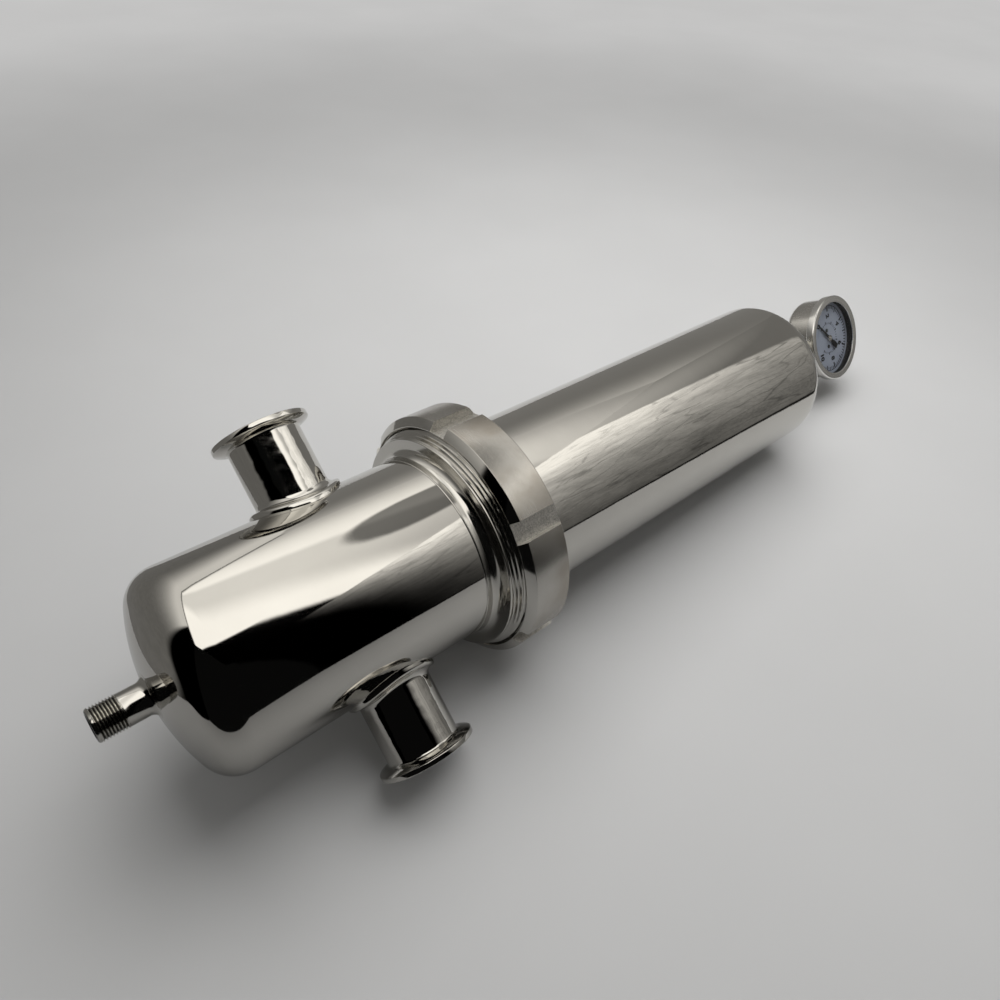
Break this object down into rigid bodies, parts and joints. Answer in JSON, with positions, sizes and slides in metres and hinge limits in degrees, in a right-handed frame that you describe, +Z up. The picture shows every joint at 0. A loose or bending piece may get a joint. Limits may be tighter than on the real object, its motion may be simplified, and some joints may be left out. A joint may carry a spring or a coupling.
{
  "type": "sanitary steam filter",
  "caption": "Polished stainless in-line steam filter: base with two clamp ferrules and a drain, slotted union nut, tall bowl over a cartridge, and a dial pressure gauge on top.",
  "frame": {"origin": "on the filter's axis at the drain nipple's lower end", "axes": "+Z up the filter's axis to the gauge, +X to the outlet ferrule, -Y the front shown in the picture"},
  "size_m": [0.1812, 0.138, 0.6157],
  "materials": {
    "polished_steel": "mirror-polished stainless steel",
    "machined_steel": "satin turned stainless steel",
    "cartridge_steel": "plain stainless sheet",
    "filter_mesh": "fine pleated sintered steel mesh",
    "gasket_rubber": "matt black",
    "gauge_steel": "polished stainless steel",
    "seal_white": "plain white sealing plastic",
    "gauge_glass": "clear instrument glass",
    "dial_paint": "painted sheet with printed scale",
    "pointer_paint": "black painted sheet",
    "movement_brass": "turned and stamped brass"
  },
  "bodies": {
    "base": {"base_shell": "polished_steel", "inlet_collar": "polished_steel", "outlet_collar": "polished_steel", "inlet_ferrule": "polished_steel", "outlet_ferrule": "polished_steel", "drain_nipple": "machined_steel", "threaded_collar": "machined_steel", "body_gasket": "gasket_rubber", "outlet_elbow": "machined_steel", "cartridge_seat": "machined_steel"},
    "cartridge": {"cartridge_adaptor": "cartridge_steel", "lower_o_ring": "gasket_rubber", "upper_o_ring": "gasket_rubber", "lower_end_cap": "cartridge_steel", "cartridge_core": "cartridge_steel", "filter_media": "filter_mesh", "cartridge_cage": "cartridge_steel", "upper_end_cap": "cartridge_steel"},
    "bowl": {"bowl_liner": "machined_steel", "bowl_shell": "polished_steel", "gauge_boss": "polished_steel", "gauge_washer": "seal_white", "gauge_socket": "gauge_steel", "gauge_case": "gauge_steel", "gauge_bezel": "gauge_steel", "gauge_window": "gauge_glass", "window_gasket": "gasket_rubber", "gauge_dial": "dial_paint", "dial_screws": "movement_brass", "movement_front_plate": "movement_brass", "movement_back_plate": "movement_brass", "movement_pillars": "movement_brass", "bourdon_tube": "movement_brass", "tube_tip": "movement_brass", "hairspring": "movement_brass", "vent_plug": "gasket_rubber"},
    "nut": {"union_nut": "machined_steel"},
    "sector": {"gauge_sector": "movement_brass"},
    "pointer": {"gauge_pointer": "pointer_paint", "pinion_arbor": "movement_brass"},
    "link": {"tip_link": "movement_brass"}
  },
  "joints": [
    {"name": "bowl_lift", "type": "slide", "parent": "base", "child": "bowl", "axis": [0, 0, 1], "range_m": [0, 0.26]},
    {"name": "nut_turn", "type": "hinge", "parent": "bowl", "child": "nut", "pos_m": [0, 0, 0.2], "axis": [0, 0, 1], "continuous": true},
    {"name": "cartridge_turn", "type": "hinge", "parent": "base", "child": "cartridge", "pos_m": [0, 0, 0.2], "axis": [0, 0, 1], "range_deg": [0, 40]},
    {"name": "sector_swing", "type": "hinge", "parent": "bowl", "child": "sector", "pos_m": [0, 0, 0.56665], "axis": [-0.3584, 0.9336, 0], "range_deg": [-33.75, 0], "stiffness_Nm_per_rad": 0.02},
    {"name": "pointer_turn", "type": "hinge", "parent": "bowl", "child": "pointer", "pos_m": [0, 0, 0.5824], "axis": [-0.3584, 0.9336, 0], "range_deg": [0, 270]},
    {"name": "link_pull", "type": "slide", "parent": "bowl", "child": "link", "axis": [0, 0, 1], "range_m": [0, 0.00292]}
  ],
  "couplings": [
    {"joint": "pointer_turn", "follows": "sector_swing", "ratio": -8},
    {"joint": "link_pull", "follows": "sector_swing", "m_per_rad": -0.004928}
  ]
}
